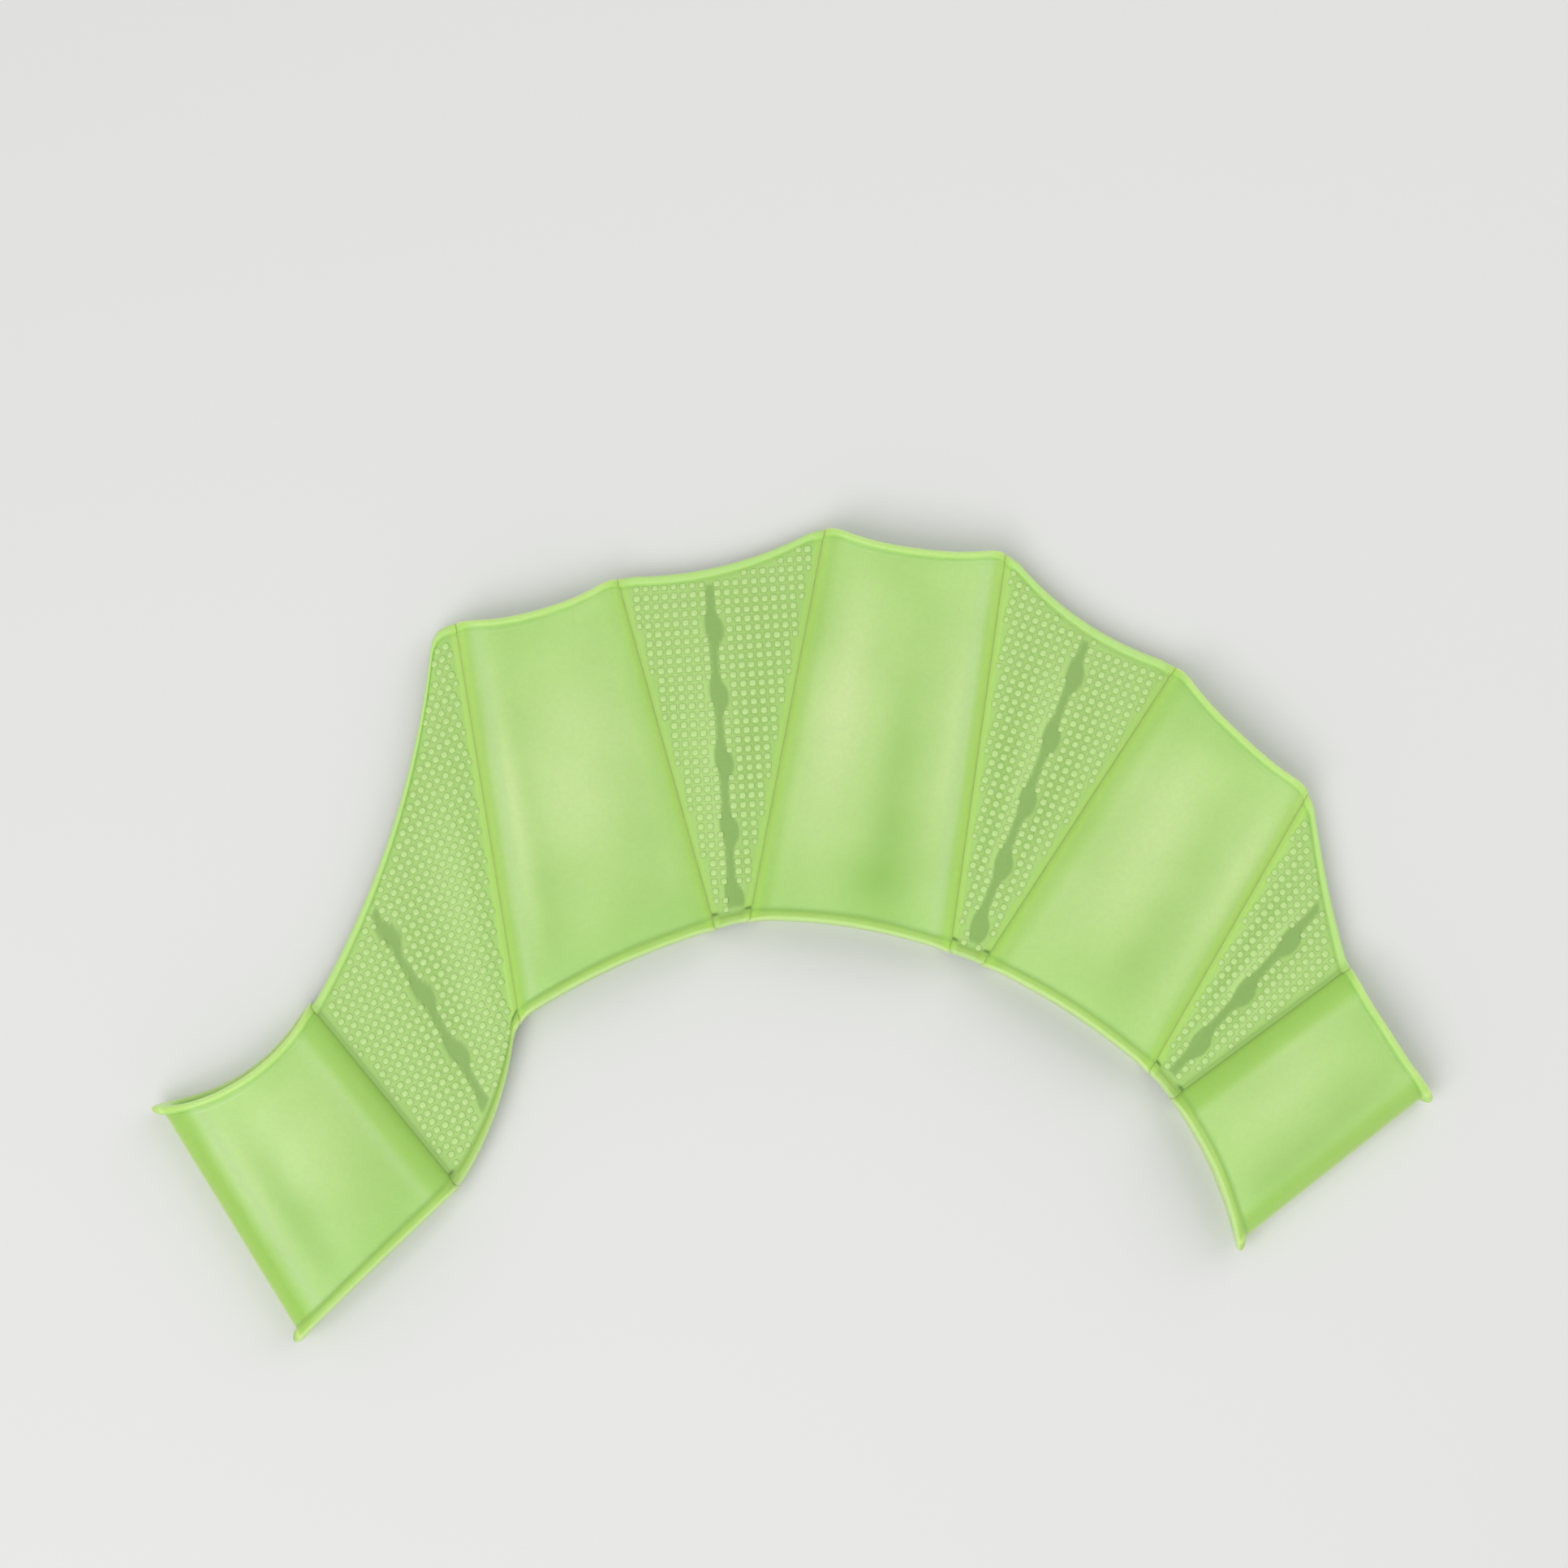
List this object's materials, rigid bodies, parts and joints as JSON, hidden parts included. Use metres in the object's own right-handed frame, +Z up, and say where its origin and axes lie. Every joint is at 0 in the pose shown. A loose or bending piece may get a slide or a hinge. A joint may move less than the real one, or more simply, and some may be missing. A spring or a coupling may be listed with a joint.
{
  "type": "webbed swim glove",
  "caption": "Soft silicone hand fin: a fan of open finger sleeves joined by thin dotted webs with rounded rims, lying flat.",
  "frame": {"origin": "centre of the whole glove's plan on the surface that it lies on", "axes": "+X across the glove from the thumb to the little finger, +Y the way the fingers point, +Z up from the surface"},
  "size_m": [0.1886, 0.1206, 0.0095],
  "materials": {
    "sleeve_silicone": "satin translucent lime green silicone, smooth, with a fine even grain",
    "web_silicone": "satin translucent lime green silicone membrane with a field of small raised dots"
  },
  "bodies": {
    "root": {"thumb_sleeve": "sleeve_silicone", "index_sleeve": "sleeve_silicone", "middle_sleeve": "sleeve_silicone", "ring_sleeve": "sleeve_silicone", "little_sleeve": "sleeve_silicone", "web_thumb_index": "web_silicone", "web_index_middle": "web_silicone", "web_middle_ring": "web_silicone", "web_ring_little": "web_silicone"}
  },
  "joints": []
}
